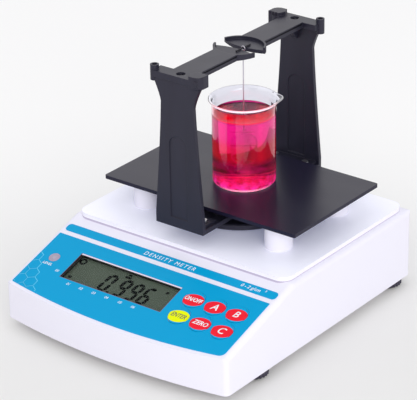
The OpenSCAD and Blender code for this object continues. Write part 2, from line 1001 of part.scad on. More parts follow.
// Half outline of an upright, from its foot to its flare
function upright_side() =
    let (foot = upright_w / 2, waist = waist_w / 2, top = flare_w / 2)
    concat([[foot, 0], [foot, 9]],
        [for (i = [0:6]) let (t = i / 6) [waist + (foot - waist) * pow(1 - t, 1.25), 9 + (waist_h - 9) * t]],
        [for (i = [1:6]) let (t = i / 6)
            [waist + (top - waist) * pow(t, 1.3), waist_h + (upright_h - waist_h) * t]]);

module upright(side) {
    edge = upright_side();
    last = len(edge) - 1;
    outer = -(frame_l / 2 + cap_proud);
    color("#303038")
        at_weighing_axis()
            rotate([0, 0, side == front ? 0 : 180])
                difference() {
                    union() {
                        translate([0, -upright_y, bar_z])
                            rotate([90, 0, 0])
                                linear_extrude(height = upright_t)
                                    polygon([for (p = edge) p, for (i = [last:-1:0]) [-edge[i][0], edge[i][1]]]);
                        translate([-upright_foot_w / 2, -upright_y - eps, bar_top])
                            cube([upright_foot_w, upright_foot_l + eps, upright_foot_t]);
                    }
                    at_bar_screws() cylinder(d = bar_screw_d + 2 * screw_play, h = far);
                    for (y = [-upright_t, 0])
                        translate([0, y - upright_y, bar_z + channel_foot]) channel_cut(channel_w / 2);
                    ear_tube(outer, ear_play);
                    translate([ear_block_x - ear_play, -far / 2, cap_z - ear_block_drop - ear_play])
                        cube([far, far, far]);
                }
}

// The screws at the front end of the cross bar
module at_bar_screws() {
    for (side = [left, right])
        translate([side * bar_screw_x, -upright_y + upright_foot_l / 2, 0]) children();
}

module bar_screws() {
    color("silver")
        at_weighing_axis()
            for (turn = [0, 180])
                rotate([0, 0, turn])
                    at_bar_screws()
                        translate([0, 0, bar_top + upright_foot_t])
                            screw(bar_screw_d, upright_foot_t + bar_t - 0.3, bar_screw_head_d, bar_screw_head_h);
}

// Shallow channel with an arched top, on a face of an upright
module channel_cut(r) {
    translate([-r, -channel_depth, 0]) cube([2 * r, 2 * channel_depth, channel_top - channel_foot - r]);
    translate([0, 0, channel_top - channel_foot - r])
        rotate([90, 0, 0]) cylinder(r = r, h = 2 * channel_depth, center = true);
}

module front_upright() {
    upright(front);
}

module rear_upright() {
    upright(back);
}

// The plan of a head: part of a round dish, with a bowed edge towards the gap
module head_plan() {
    intersection() {
        circle(d = head_d);
        translate([0, -head_gap / 2 - head_bow_r]) circle(r = head_bow_r, $fn = wide_fn);
    }
}

// One top piece: cap, ears, arm and head. The back one is the same piece turned round.
module top_arm() {
    outer = -(frame_l / 2 + cap_proud);
    cap_right = ear_block_x + ear_block_w - 2;
    difference() {
        union() {
            translate([cap_left, outer, cap_z]) cube([cap_right - cap_left, cap_l, arm_t]);
            translate([-arm_w / 2, outer, cap_z]) cube([arm_w, -head_d / 2 + 4 - outer, arm_t]);
            translate([0, 0, cap_z]) linear_extrude(height = arm_t) head_plan();
            ear_tube(outer, 0);
            ear_block(outer, 0);
            gusset();
        }
        translate([0, 0, dish_z]) cylinder(d = head_d - 2 * head_rim, h = far);
        tip_taper();
        translate([0, outer + arm_hole_y, arm_top - arm_hole_depth]) cylinder(d = arm_hole_d, h = far);
        translate([0, outer + arm_hole_y, cap_z - eps]) cylinder(d = arm_screw_d + 2 * screw_play, h = far);
        translate([ear_tube_x, outer + ear_tube_d / 2 + 0.4, arm_top - 3])
            cylinder(d = ear_tube_d - 2.6, h = far);
        ear_flutes(outer);
    }
}

// The underside rises towards the right tip
module tip_taper() {
    start = arm_w / 2 + eps;
    end = head_d / 2 + 1;
    rotate([90, 0, 0])
        linear_extrude(height = head_d / 2 + 1)
            polygon([[start, cap_z - 1], [end, cap_z - 1], [end, cap_z + tip_rise], [start, cap_z]]);
}

module ear_tube(outer, play) {
    translate([ear_tube_x, outer + ear_tube_d / 2 + 0.4, cap_z - ear_tube_drop - play])
        cylinder(d = ear_tube_d + 2 * play, h = arm_t + ear_tube_drop + ear_rise + play);
}

module ear_block(outer, play) {
    r = ear_block_r + play;
    w = ear_block_w + play;
    translate([ear_block_x, outer - play, cap_z - ear_block_drop - play])
        linear_extrude(height = arm_t + ear_block_drop + ear_block_rise + play) {
            translate([-play, 0]) square([w + play - r, cap_l]);
            translate([-play, r]) square([w + play, cap_l - r]);
            translate([w - r, r]) circle(r = r);
        }
}

module ear_flutes(outer) {
    for (x = [2.2:2.8:8])
        translate([ear_block_x + x, outer + cap_l + 0.4, arm_top]) cylinder(d = flute_d, h = far);
}

// Rib under the arm, against the upright's inner face
module gusset() {
    translate([-rib_w / 2, -upright_y, cap_z])
        rotate([90, 0, 90])
            linear_extrude(height = rib_w)
                polygon([[0, eps], [0, -rib_drop], [1.5, -rib_drop], [rib_drop, eps]]);
}

module front_arm() {
    color("#75747b") at_weighing_axis() top_arm();
}

module rear_arm() {
    color("#75747b") at_weighing_axis() rotate([0, 0, 180]) top_arm();
}

module arm_screws() {
    color("silver")
        at_weighing_axis()
            for (turn = [0, 180])
                rotate([0, 0, turn])
                    translate([0, arm_hole_y - frame_l / 2 - cap_proud, arm_top - arm_hole_depth])
                        screw(arm_screw_d, arm_t - arm_hole_depth, arm_hole_d - 1, arm_screw_head_h / 2);
}

// ---- Hanger ----

module at_hanger() {
    translate([hanger_x, weigh_y, 0]) children();
}

module hanger_bar() {
    color("silver")
        at_hanger() translate([0, 0, hook_z]) rotate([90, 0, 0]) cylinder(d = hook_d, h = hook_l, center = true);
}

module hanger_wire() {
    color("silver")
        at_hanger() {
            translate([0, 0, ring_z])
                rotate([90, 0, 0])
                    rotate_extrude() translate([ring_r, 0]) circle(d = wire_d, $fn = 16);
            translate([0, 0, sinker_z + sinker_h + sinker_neck_h])
                cylinder(d = wire_d, h = ring_z - ring_r - sinker_z - sinker_h - sinker_neck_h);
        }
}

// Body of the sinker, grown by play all round
module sinker_form(play) {
    r = sinker_d / 2;
    translate([hanger_x, weigh_y, 0])
        rotate_extrude()
            intersection() {
                union() {
                    translate([0, sinker_z + r]) circle(r = r + play);
                    translate([0, sinker_z + sinker_h - r]) circle(r = r + play);
                    translate([0, sinker_z + r]) square([r + play, sinker_h - 2 * r]);
                }
                translate([0, 0]) square([far, far]);
            }
}

module sinker() {
    color("aliceblue", 0.6) {
        sinker_form(0);
        at_hanger()
            translate([0, 0, sinker_z + sinker_h - 1]) cylinder(d = sinker_neck_d, h = sinker_neck_h + 1);
    }
}

// ---- Feet ----

module at_foot(side, end) {
    translate([side * foot_x, end == front ? foot_front_y : foot_back_y, 0]) children();
}

module foot_inserts() {
    color("goldenrod")
        at_feet()
            translate([0, 0, insert_z])
                difference() {
                    cylinder(d = insert_d, h = insert_l);
                    translate([0, 0, -eps]) cylinder(d = stud_d + 2 * stud_play, h = far / 8);
                }
}

module foot_wheel(side, end) {
    r = foot_d / 2;
    step = 360 / foot_teeth;
    color("#2a2336")
        at_foot(side, end)
            translate([0, 0, pad_t]) {
                linear_extrude(height = foot_h)
                    polygon([for (i = [0:foot_teeth - 1])
                        for (part = [[0, r - tooth_depth], [0.3, r], [0.65, r]])
                            part[1] * [cos((i + part[0]) * step), sin((i + part[0]) * step)]]);
                cylinder(d = stud_d, h = foot_h + stud_l);
            }
}

module foot_pad(side, end) {
    color("#202020") at_foot(side, end) cylinder(d = pad_d, h = pad_t);
}

module foot_wheel_front_left() {
    foot_wheel(left, front);
}

module foot_wheel_front_right() {
    foot_wheel(right, front);
}

module foot_wheel_back_left() {
    foot_wheel(left, back);
}

module foot_wheel_back_right() {
    foot_wheel(right, back);
}

module foot_pad_front_left() {
    foot_pad(left, front);
}

module foot_pad_front_right() {
    foot_pad(right, front);
}

module foot_pad_back_left() {
    foot_pad(left, back);
}

module foot_pad_back_right() {
    foot_pad(right, back);
}

lower_case();
upper_case();
case_screws();
panel_overlay();
header_strip();
lcd_window();
lcd_glass();
front_board();
key_switches();
key_on_off();
key_a();
key_b();
key_enter();
key_zero();
key_c();
vial_cup();
vial_lens();
dc_jack();
main_board();
board_parts();
ribbon_cable();
top_tray();
leg_front_left();
leg_front_right();
leg_back_left();
leg_back_right();
bridge_plate();
beaker();
liquid();
hub_disc();
hub_screw();
cross_bar();
bar_screws();
front_upright();
rear_upright();
front_arm();
rear_arm();
arm_screws();
hanger_bar();
hanger_wire();
sinker();
spigot();
cell_bracket();
bracket_screws();
load_cell();
cell_base();
cell_screws();
foot_inserts();
foot_wheel_front_left();
foot_wheel_front_right();
foot_wheel_back_left();
foot_wheel_back_right();
foot_pad_front_left();
foot_pad_front_right();
foot_pad_back_left();
foot_pad_back_right();
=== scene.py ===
# %% [markdown]
# # A benchtop density meter
# The CAD frame gives every piece its size and place. This lesson dresses it: it makes the
# finishes, the display, the key legends, the beaker with its liquid and the small trim.
# The frame is loaded first.

# %% Load the frame
import math

import bmesh
import bpy
from mathutils import Matrix, Vector


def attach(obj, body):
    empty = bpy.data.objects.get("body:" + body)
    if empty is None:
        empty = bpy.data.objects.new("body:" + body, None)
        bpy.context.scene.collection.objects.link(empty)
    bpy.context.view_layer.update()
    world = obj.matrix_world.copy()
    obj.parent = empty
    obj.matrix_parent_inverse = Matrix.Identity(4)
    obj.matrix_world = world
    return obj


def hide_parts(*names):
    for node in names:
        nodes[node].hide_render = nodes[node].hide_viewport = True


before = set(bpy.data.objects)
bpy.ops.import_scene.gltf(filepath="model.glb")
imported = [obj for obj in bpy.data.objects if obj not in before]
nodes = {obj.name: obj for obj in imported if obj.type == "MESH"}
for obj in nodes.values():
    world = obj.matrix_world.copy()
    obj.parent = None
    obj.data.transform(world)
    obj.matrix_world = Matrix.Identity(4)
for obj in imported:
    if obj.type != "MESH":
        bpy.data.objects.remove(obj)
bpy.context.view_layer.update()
MM = 0.001
print("nodes:", len(nodes))

# %% [markdown]
# The picture was taken from the right and a little above, with a long lens from some
# distance. The camera's turn, rise and roll come from the straight edges of the housing.
# A small shift frames the meter as the picture does, without turning the camera.

# %% Camera
TURN, RISE, ROLL = 37.001, 25.691, -0.515
TARGET, DISTANCE = Vector((0, 0.043, 0.060)), 1.7507


def look(turn, rise, roll):
    """The camera's axes: right, up and backwards, for a view turned and raised in degrees."""
    turn, rise, roll = (math.radians(angle) for angle in (turn, rise, roll))
    back = Vector((math.sin(turn) * math.cos(rise), -math.cos(turn) * math.cos(rise), math.sin(rise)))
    right = Vector((math.cos(turn), math.sin(turn), 0))
    up = back.cross(right)
    level, tipped = math.cos(roll), math.sin(roll)
    return right * level + up * tipped, up * level - right * tipped, back


right, up, back = look(TURN, RISE, ROLL)
lens = bpy.data.cameras.new("camera")
lens.sensor_fit = "HORIZONTAL"
lens.sensor_width, lens.lens = 36, 190.7
lens.shift_x, lens.shift_y = -0.078, 0.0426
lens.clip_end = 50
camera = bpy.data.objects.new("camera", lens)
camera.matrix_world = Matrix((right, up, back)).transposed().to_4x4()
camera.matrix_world.translation = TARGET + back * DISTANCE
bpy.context.scene.collection.objects.link(camera)
bpy.context.scene.camera = camera
print("camera at", tuple(round(c, 3) for c in camera.matrix_world.translation))

# %% [markdown]
# Shader maths reads better as sums than as chains of nodes. The small class below wraps a
# socket, and each operator on it adds one Math node. A second class holds a node tree and
# adds any kind of node to it by its type, with its settings and its sockets in one call.

# %% Node helpers
def tint(red, green, blue):
    """A screen colour from 0 to 255, as the linear colour that shaders use."""
    parts = [part / 255 for part in (red, green, blue)]
    return [part / 12.92 if part < 0.04045 else ((part + 0.055) / 1.055) ** 2.4 for part in parts] + [1]


class Wire:
    """A socket whose sums, products and comparisons are Math nodes."""

    def __init__(self, owner, socket):
        self.owner, self.socket = owner, socket

    def math(self, operation, *others):
        return self.owner.node("Math", {"operation": operation}, dict(enumerate((self, *others))))

    def __add__(self, other):
        return self.math("ADD", other)

    def __mul__(self, other):
        return self.math("MULTIPLY", other)

    def __sub__(self, other):
        return self.math("SUBTRACT", other)

    def __rsub__(self, other):
        return self.owner.node("Math", {"operation": "SUBTRACT"}, {0: other, 1: self})

    def __gt__(self, other):
        return self.math("GREATER_THAN", other)

    def __lt__(self, other):
        return self.math("LESS_THAN", other)

    __radd__, __rmul__ = __add__, __mul__


class Tree:
    """A node tree that grows by one method."""

    def __init__(self, tree):
        self.tree = tree

    def put(self, socket, value):
        if isinstance(value, Wire):
            self.tree.links.new(value.socket, socket)
        else:
            socket.default_value = value

    def node(self, kind, settings=None, sockets=None, out=0):
        made = self.tree.nodes.new("ShaderNode" + kind)
        for name, value in (settings or {}).items():
            if name == "stops":
                while len(made.color_ramp.elements) < len(value):
                    made.color_ramp.elements.new(1)
                for stop, (place, colour) in zip(made.color_ramp.elements, value):
                    stop.position, stop.color = place, colour
            else:
                setattr(made, name, value)
        for socket, value in (sockets or {}).items():
            self.put(made.inputs[socket], value)
        return Wire(self, made.outputs[out])


print("node helpers ready")

# %% [markdown]
# A finish is one material. Real surfaces differ in colour, in how rough they are and in
# their fine relief, and each of these changes a little from place to place. So a finish can
# make noise of a given size, blend two colours by it, fade one value into another and raise
# small bumps. Sizes are in metres on the object, so they hold in every view.

# %% Finish helper
class Finish(Tree):
    """One material: a Principled shader, and whatever nodes its colour and surface need."""

    def __init__(self, name, colour, roughness=0.4, **settings):
        self.material = bpy.data.materials.new(name)
        self.material.use_nodes = True
        super().__init__(self.material.node_tree)
        self.shader = self.tree.nodes["Principled BSDF"]
        self.feed("Base Color", colour)
        self.feed("Roughness", roughness)
        for socket, value in settings.items():
            self.feed(socket.replace("_", " "), value)

    def feed(self, socket, value):
        self.put(self.shader.inputs[socket], value)

    def place(self):
        return self.node("TexCoord", out="Object")

    def axis(self, name, vector=None):
        """X, Y or Z of a point of the piece, or of another vector."""
        return self.node("SeparateXYZ", {}, {"Vector": vector or self.place()}, out=name)

    def noise(self, size, detail=2, stretch=(1, 1, 1)):
        """Noise from 0 to 1, with features about size metres across."""
        spot = self.node("Mapping", {}, {"Vector": self.place(), "Scale": [s / size for s in stretch]})
        return self.node("TexNoise", {}, {"Vector": spot, "Scale": 1.0, "Detail": detail})

    def blend(self, share, first, second):
        """Colour first where share is 0, and second where it is 1."""
        return self.node("Mix", {"data_type": "RGBA"}, {0: share, 6: first, 7: second}, out=2)

    def fade(self, value, start, end, low=0.0, high=1.0, **settings):
        """Goes from low to high while value goes from start to end."""
        return self.node("MapRange", settings, {"Value": value, "From Min": start, "From Max": end,
                                                "To Min": low, "To Max": high})

    def relief(self, height, depth, strength=1.0, edge=None):
        """Bumps depth metres deep where height, from 0 to 1, says so, over edges rounded by edge metres."""
        bump = self.node("Bump", {}, {"Strength": strength, "Distance": depth, "Height": height})
        if edge:
            rounded = self.node("Bevel", {"samples": 4}, {"Radius": edge})
            self.put(bump.socket.node.inputs["Normal"], rounded)
        self.feed("Normal", bump)
        return self


def wear(item, finish):
    """Puts a finish on an object."""
    item.data.materials.clear()
    item.data.materials.append(finish.material)


def dress(finish, *names):
    """Puts a finish on CAD nodes."""
    for name in names:
        wear(nodes[name], finish)
    print(finish.material.name, "on", ", ".join(names))


print("finish helper ready")

# %% [markdown]
# The housing is moulded white plastic, faintly lavender, with a very fine spark texture from
# the mould. Noise under half a millimetre across gives the texture, and a slower noise
# changes the roughness a little, as handling does. The four legs are of the same plastic.

# %% White plastic
HANDLED = 0.03


def moulded(name, colour, rough, grain=0.0004, depth=0.00002, spread=0.06, edge=None, **settings):
    """Moulded plastic: a fine grain in the surface and a slow change of roughness."""
    finish = Finish(name, colour, **settings)
    finish.relief(finish.noise(grain), depth, 0.35, edge)
    finish.feed("Roughness", rough - spread / 2 + finish.noise(HANDLED) * spread)
    return finish


ENDS, SIDES = ("front", "back"), ("left", "right")
CORNERS = [f"{end}_{side}" for end in ENDS for side in SIDES]
white = moulded("white_plastic", tint(236, 234, 245), 0.42, IOR=1.46)
dress(white, "upper_case", "lower_case", *(f"leg_{corner}" for corner in CORNERS))

# %% [markdown]
# The tray is the housing's plastic with painted light. Light spreads inside it, so it stays
# pale in the plate's shadow. Scattering would do that slowly, and the export would lose it,
# so a faint painted glow stands in for it, bluer on the faces that look up, and those faces
# are painted lighter than the sides. A thin grey line of painted shade runs round the tray's
# foot, where it meets the case.

# %% Tray with painted light
TRAY_FOOT = 65.7 * MM
LOOKS_UP = 0.7
tray_painted_light = moulded("milky_plastic", tint(236, 234, 245), 0.42, IOR=1.46)
# Painted light: the faces that look up get a lighter colour and a bluer glow than the sides.
upwards = tray_painted_light.axis("Z", tray_painted_light.node("NewGeometry", out="Normal")) > LOOKS_UP
# Painted shade: a thin grey line round the tray's foot.
foot_shade = tray_painted_light.axis("Z") < TRAY_FOOT
body = tray_painted_light.blend(upwards, tint(229, 227, 236), tint(243, 242, 245))
tray_painted_light.feed("Base Color", tray_painted_light.blend(foot_shade, body, tint(168, 158, 182)))
tray_painted_light.feed("Emission Color", tray_painted_light.blend(upwards, tint(204, 200, 210), tint(204, 211, 255)))
tray_painted_light.feed("Emission Strength", 0.22)
dress(tray_painted_light, "top_tray")

# %% [markdown]
# The weighing frame is black glass-filled plastic. Its faces that look up show a grey sheen,
# so it is only half rough, and its grain is coarser than the housing's. Noise drawn out
# along one axis gives the faint flow lines that such mouldings have.

# %% Black plastic
black = moulded("black_plastic", tint(38, 38, 46), 0.44, grain=0.0005, depth=0.00004, spread=0.1,
                edge=0.0007, IOR=1.52, Specular_IOR_Level=0.42, Specular_Tint=(0.92, 0.87, 1, 1))
flow = black.noise(0.01, detail=4, stretch=(1, 1, 0.15))
black.feed("Base Color", black.blend(flow, tint(23, 23, 35), tint(36, 36, 51)))
dress(black, "hub_disc", "cross_bar", "front_upright", "rear_upright", "front_arm", "rear_arm", "dc_jack")

# %% [markdown]
# The platform plate is black acrylic sheet. It is smoother than the frame, so the beaker's
# red light shows in it, softly. Fine noise in the roughness keeps the reflection from
# looking like a mirror, and a few long faint wiping marks run across it.

# %% Black acrylic
acrylic = Finish("black_acrylic", tint(28, 26, 46), IOR=1.49, Specular_IOR_Level=0.26,
                 Specular_Tint=(0.95, 0.92, 1, 1))
wiped = acrylic.noise(0.02, detail=5, stretch=(0.12, 1, 1))
acrylic.feed("Roughness", 0.26 + wiped * 0.12)
acrylic.relief(acrylic.noise(0.0006), 0.00001, 0.3)
dress(acrylic, "bridge_plate")

# %% [markdown]
# The panel is a printed film with a fine pebble on its outer face. The blue is strong and
# even; only the sheen moves over it. Every print on it, and the caps of the keys, share the
# pebble, so one helper makes them all and only the colour differs.

# %% Printed film
def printed(name, colour, rough=0.3):
    """Printed film: a pebble a third of a millimetre across and a slow change of sheen."""
    finish = Finish(name, colour, IOR=1.5, Specular_IOR_Level=0.1)
    finish.relief(finish.noise(0.00035), 0.00001, 0.25)
    finish.feed("Roughness", rough + finish.noise(0.015) * 0.08)
    return finish


FILM_BLUE = tint(0, 159, 210)
film_blue = printed("blue_film", FILM_BLUE)
film_pale = printed("pale_film", tint(112, 212, 240))
film_white = printed("white_print", tint(242, 244, 247))
film_grey = printed("grey_print", tint(132, 128, 92))
dress(film_blue, "panel_overlay", "header_strip")

# %% [markdown]
# The display is a grey-green cell behind a clear pane. The cell's polariser has a slight
# mottle. The pane is almost all see-through, so its shader is a low alpha with a smooth
# surface: the export keeps an alpha where it would lose a mix of shaders.

# %% Display
cell_back = Finish("display", tint(84, 96, 82), IOR=1.4, Specular_IOR_Level=0.2)
mottle = cell_back.noise(0.02, detail=3)
cell_back.feed("Base Color", cell_back.blend(mottle, tint(74, 86, 73), tint(86, 98, 84)))
cell_back.feed("Roughness", 0.34 + mottle * 0.1)
pane = Finish("clear_plastic", tint(60, 66, 64), IOR=1.5, Alpha=0.05)
pane.feed("Roughness", 0.03 + pane.noise(0.01) * 0.04)
ink = Finish("display_ink", tint(2, 6, 6), IOR=1.4, Specular_IOR_Level=0.05)
ink.feed("Roughness", 0.4 + ink.noise(0.004) * 0.1)
dress(cell_back, "lcd_glass")
dress(pane, "lcd_window")

# %% [markdown]
# Metals differ mainly in colour and in how they were worked. Turned and brushed metal both
# come from noise drawn out along one axis; stretch says which. The screws are steel, the
# load cell is milled aluminium and the feet's inserts are brass. The hanger's wire is duller
# steel, and the bar that it hangs from is browned.

# %% Metals
def metal(name, colour, rough, stretch):
    """Worked metal, its marks drawn out along one axis."""
    finish = Finish(name, colour, Metallic=1.0)
    marks = finish.noise(0.002, detail=4, stretch=stretch)
    finish.feed("Roughness", rough + marks * 0.16)
    finish.relief(marks, 0.00001, 0.2)
    return finish


TURNED, BRUSHED, DRAWN = (1, 1, 6), (6, 0.4, 1), (6, 1, 1)
dress(metal("steel", tint(186, 187, 190), 0.22, TURNED),
      "case_screws", "arm_screws", "hub_screw", "bar_screws", "cell_screws", "bracket_screws")
dress(metal("aluminium", tint(200, 201, 205), 0.3, BRUSHED),
      "load_cell", "cell_bracket", "spigot", "cell_base")
dress(metal("brass", tint(196, 158, 88), 0.25, TURNED), "foot_inserts")
dress(metal("dull_steel", tint(196, 193, 204), 0.35, TURNED), "hanger_wire")
dress(metal("dark_steel", tint(62, 61, 68), 0.45, DRAWN), "hanger_bar")

# %% [markdown]
# Inside are green circuit boards with their parts and a grey ribbon cable. They hardly show,
# but the part can be opened in other scenes, so they get finishes of their own: a faint
# weave under the boards' varnish, and ribs along the ribbon. The feet are dark plastic wheels
# on rubber pads.

# %% Boards, cable and feet
board = Finish("board_green", tint(22, 92, 52), 0.35, IOR=1.5)
weave = board.node("TexWave", {}, {"Vector": board.place(), "Scale": 400.0, "Distortion": 1.0}, out=1)
board.feed("Base Color", board.blend(weave, tint(20, 84, 48), tint(28, 100, 58)))
ribbon = Finish("ribbon_grey", tint(184, 184, 188), 0.5)
ribs = ribbon.node("TexWave", {}, {"Vector": ribbon.place(), "Scale": 250.0}, out=1)
ribbon.relief(ribs, 0.0002)
chip = moulded("chip_black", tint(30, 30, 32), 0.5)
rubber = moulded("rubber", tint(30, 29, 34), 0.7, grain=0.001, depth=0.0001)
wheel_plastic = moulded("wheel_plastic", tint(52, 48, 66), 0.5, IOR=1.5)
dress(board, "main_board", "front_board")
dress(ribbon, "ribbon_cable")
dress(chip, "board_parts", "key_switches")
dress(wheel_plastic, *(f"foot_wheel_{corner}" for corner in CORNERS))
dress(rubber, *(f"foot_pad_{corner}" for corner in CORNERS))

# %% [markdown]
# The beaker's glass is clear, with a trace of waviness where it was blown. Glass needs a
# smooth closed surface and little else, because the shader bends the light. Three places get
# painted light, because a plain studio has no windows for them to catch: a painted highlight
# glows a little on the rim and on the foot's edge on the front right side, and just above the
# liquid the front right wall is painted red in patches, in its colour and in a faint glow:
# painted light from the liquid.

# %% Clear glass
BLACK, WHITE = (0, 0, 0, 1), (1, 1, 1, 1)
BEAKER_AXIS = Vector((3.5 * MM, 43 * MM, 0))
FRONT_RIGHT = (0.6, -0.8, 0)
RIM_FROM, FOOT_TO = 161.8 * MM, 94.9 * MM
RED_BAND_FROM, RED_BAND_FULL, RED_BAND_TO = 151.2 * MM, 155.2 * MM, 160.0 * MM


def frontness(finish, start, end):
    """0 to 1 over the distance, in metres, that a point lies in front of the beaker's axis."""
    spot = finish.node("Mapping", {}, {"Vector": finish.place(), "Location": -BEAKER_AXIS})
    ahead = finish.node("VectorMath", {"operation": "DOT_PRODUCT"}, {0: spot, 1: FRONT_RIGHT}, out="Value")
    return finish.fade(ahead, start, end, interpolation_type="SMOOTHSTEP")


glass = Finish("glass", tint(216, 216, 226), 0.0, IOR=1.47, Transmission_Weight=1.0)
glass.relief(glass.noise(0.02, detail=1), 0.0001, 0.05)
level = glass.axis("Z")
near = frontness(glass, -0.004, 0.018)
# Painted highlight: a faint white glow on the rim and the foot's edge, on the front right side.
highlight_share = (level > RIM_FROM) * (near * 0.5 + 0.03) + (level < FOOT_TO) * (near * 0.4 + 0.05)
painted_highlight = glass.blend(highlight_share, BLACK, tint(248, 246, 250))
# Painted light: the liquid's red on the front right wall just above it, in colour and in glow.
band_fade = glass.fade(level, RED_BAND_FROM, RED_BAND_FULL, low=0.3)
patches = glass.noise(0.007, detail=3, stretch=(1, 1, 1.6)) * 1.1 + 0.4
red_band = (level > RED_BAND_FROM) * (level < RED_BAND_TO) * near * band_fade * patches
glass.feed("Base Color", glass.blend(red_band * 0.85, tint(216, 216, 226), tint(240, 26, 66)))
glass.feed("Emission Color", glass.blend(red_band * 0.17, painted_highlight, tint(232, 10, 52)))
glass.feed("Emission Strength", 1.0)
print("glass: rim from", round(RIM_FROM / MM, 1), "mm, wet from", round(RED_BAND_FROM / MM, 1), "mm")

# %% [markdown]
# The liquid is a strong pink dye. Light takes its colour once on the way in and once on the
# way out, and it is pinker near the top than below. In the picture it lights up in bands, as
# the dye and the round glass gather the light: red in the middle, pink above, flecks at the
# foot. A weak glow with a colour ramp up the height paints that light on the liquid's front
# half, and upright streaks break it. A painted pink highlight runs along the front of its top
# edge, and the flecks at the foot are painted light too.

# %% Pink dye and painted glow
LIQUID_FLOOR, LIQUID_TOP = 95.6 * MM, 150.7 * MM
DEEP_RED, RED_GLOW, PINK_GLOW = tint(212, 10, 22), tint(216, 12, 24), tint(226, 6, 118)
BANDS = [(0.36, BLACK), (0.46, DEEP_RED), (0.64, RED_GLOW),
         (0.76, PINK_GLOW), (0.985, PINK_GLOW), (1.0, BLACK)]

dye_and_painted_glow = Finish("pink_liquid", tint(255, 40, 132), 0.0, IOR=1.33, Transmission_Weight=0.95,
             Specular_IOR_Level=0.12)
height = dye_and_painted_glow.axis("Z")
streaks = dye_and_painted_glow.noise(0.012, detail=2, stretch=(1, 1, 0.05))
rise = dye_and_painted_glow.fade(height + streaks * 0.02, 118 * MM, 148 * MM)
dye_and_painted_glow.feed("Base Color", dye_and_painted_glow.blend(rise, tint(255, 32, 82), tint(255, 44, 146)))
# Painted light: a glow in red and pink bands up the liquid's front half, broken by streaks.
bands = dye_and_painted_glow.node("ValToRGB", {"stops": BANDS}, {"Fac": dye_and_painted_glow.fade(height, 95 * MM, LIQUID_TOP)})
glow = dye_and_painted_glow.blend(frontness(dye_and_painted_glow, -0.008, 0.008) * (streaks * 1.6 - 0.1), BLACK, bands)
# Painted highlight: a pink glow along the front of the liquid's top edge.
edge = frontness(dye_and_painted_glow, -0.003, 0.02) * (height > 150.5 * MM)
glow = dye_and_painted_glow.blend(edge * 0.5, glow, tint(255, 16, 70))
# Painted light: bright pink flecks near the liquid's foot.
foot = dye_and_painted_glow.fade(height, 96.5 * MM, 107 * MM, low=1.0, high=0.0)
foot_glow_noise = dye_and_painted_glow.noise(0.005, detail=4)
dye_and_painted_glow.feed("Emission Color", dye_and_painted_glow.blend(foot * (foot_glow_noise * 2.6 - 0.85), glow, tint(255, 54, 190)))
dye_and_painted_glow.feed("Emission Strength", 0.8)
print("dye:", len(BANDS), "stops up", round((LIQUID_TOP - LIQUID_FLOOR) / MM, 1), "mm")

# %% [markdown]
# Two small things remain. The bubble level has a dull mauve ring and a greyish lens. The
# sinker hangs in the liquid, and real glass nearly disappears there because both bend light
# alike. One shader can't know what is round it, so this one bends light very little, and a
# coat gives it its shine in air.

# %% Level and sinker
level_ring = moulded("level_ring", tint(176, 156, 178), 0.45)
level_glass = Finish("level_glass", tint(170, 162, 178), 0.08, IOR=1.5)
cloudy = level_glass.noise(0.004)
level_glass.feed("Base Color", level_glass.blend(cloudy, tint(150, 143, 160), tint(178, 170, 188)))
sunk_glass = Finish("sinker_glass", tint(236, 236, 242), 0.0, IOR=1.02, Transmission_Weight=1.0,
                    Coat_Weight=0.6)
sunk_glass.relief(sunk_glass.noise(0.01, detail=1), 0.0001, 0.05)
dress(level_ring, "vial_cup")
dress(level_glass, "vial_lens")
dress(sunk_glass, "sinker")

# %% [markdown]
# New pieces start as a bmesh. One helper turns a finished bmesh into an object at the
# origin, smooths its rounded faces, gives it its finish, and lets it ride on the body that
# carries it. Merging doubles first lets the normals be set outwards safely.

# %% Piece helper
def piece(name, shape, finish, body, smooth=None, clean=True):
    """An object from a bmesh; smooth is the angle in degrees up to which its edges are round."""
    if clean:
        bmesh.ops.remove_doubles(shape, verts=shape.verts, dist=1e-7)
        bmesh.ops.recalc_face_normals(shape, faces=shape.faces)
    mesh = bpy.data.meshes.new(name)
    shape.to_mesh(mesh)
    shape.free()
    made = bpy.data.objects.new(name, mesh)
    bpy.context.scene.collection.objects.link(made)
    if smooth is not None:
        mesh.shade_smooth()
        mesh.set_sharp_from_angle(angle=math.radians(smooth))
    wear(made, finish)
    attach(made, body)
    print(name, len(mesh.polygons), "faces")
    return made


print("piece helper ready")

# %% [markdown]
# The liquid is one body of revolution. It could be a cylinder, but a spun section also gives
# the rounded foot and the rim that climbs the wall a little, as a wetting liquid's does. It
# reaches a hair into the glass, so that no air shows between them.

# %% Liquid
LIQUID_R, CLIMB, MENISCUS = 23.75 * MM, 1.3 * MM, 1.6 * MM


def section(points):
    """An open chain of edges through (x, z) in the plane y = 0, ready to be spun round the z axis."""
    shape = bmesh.new()
    verts = [shape.verts.new((x, 0, z)) for x, z in points]
    for pair in zip(verts, verts[1:]):
        shape.edges.new(pair)
    return shape, verts


def rounded(shape, verts, radius, segments=6):
    """Rounds some of a section's corners."""
    bmesh.ops.bevel(shape, geom=verts, offset=radius, segments=segments, profile=0.5,
                    affect="VERTICES", material=-1, offset_type="OFFSET")


def spun(shape, centre, steps=96):
    """Spins a section right round an upright axis through centre."""
    bmesh.ops.spin(shape, geom=shape.verts[:] + shape.edges[:], cent=(0, 0, 0), axis=(0, 0, 1),
                   angle=2 * math.pi, steps=steps, use_merge=True)
    bmesh.ops.remove_doubles(shape, verts=shape.verts, dist=1e-6)
    bmesh.ops.translate(shape, verts=shape.verts, vec=centre)
    return shape


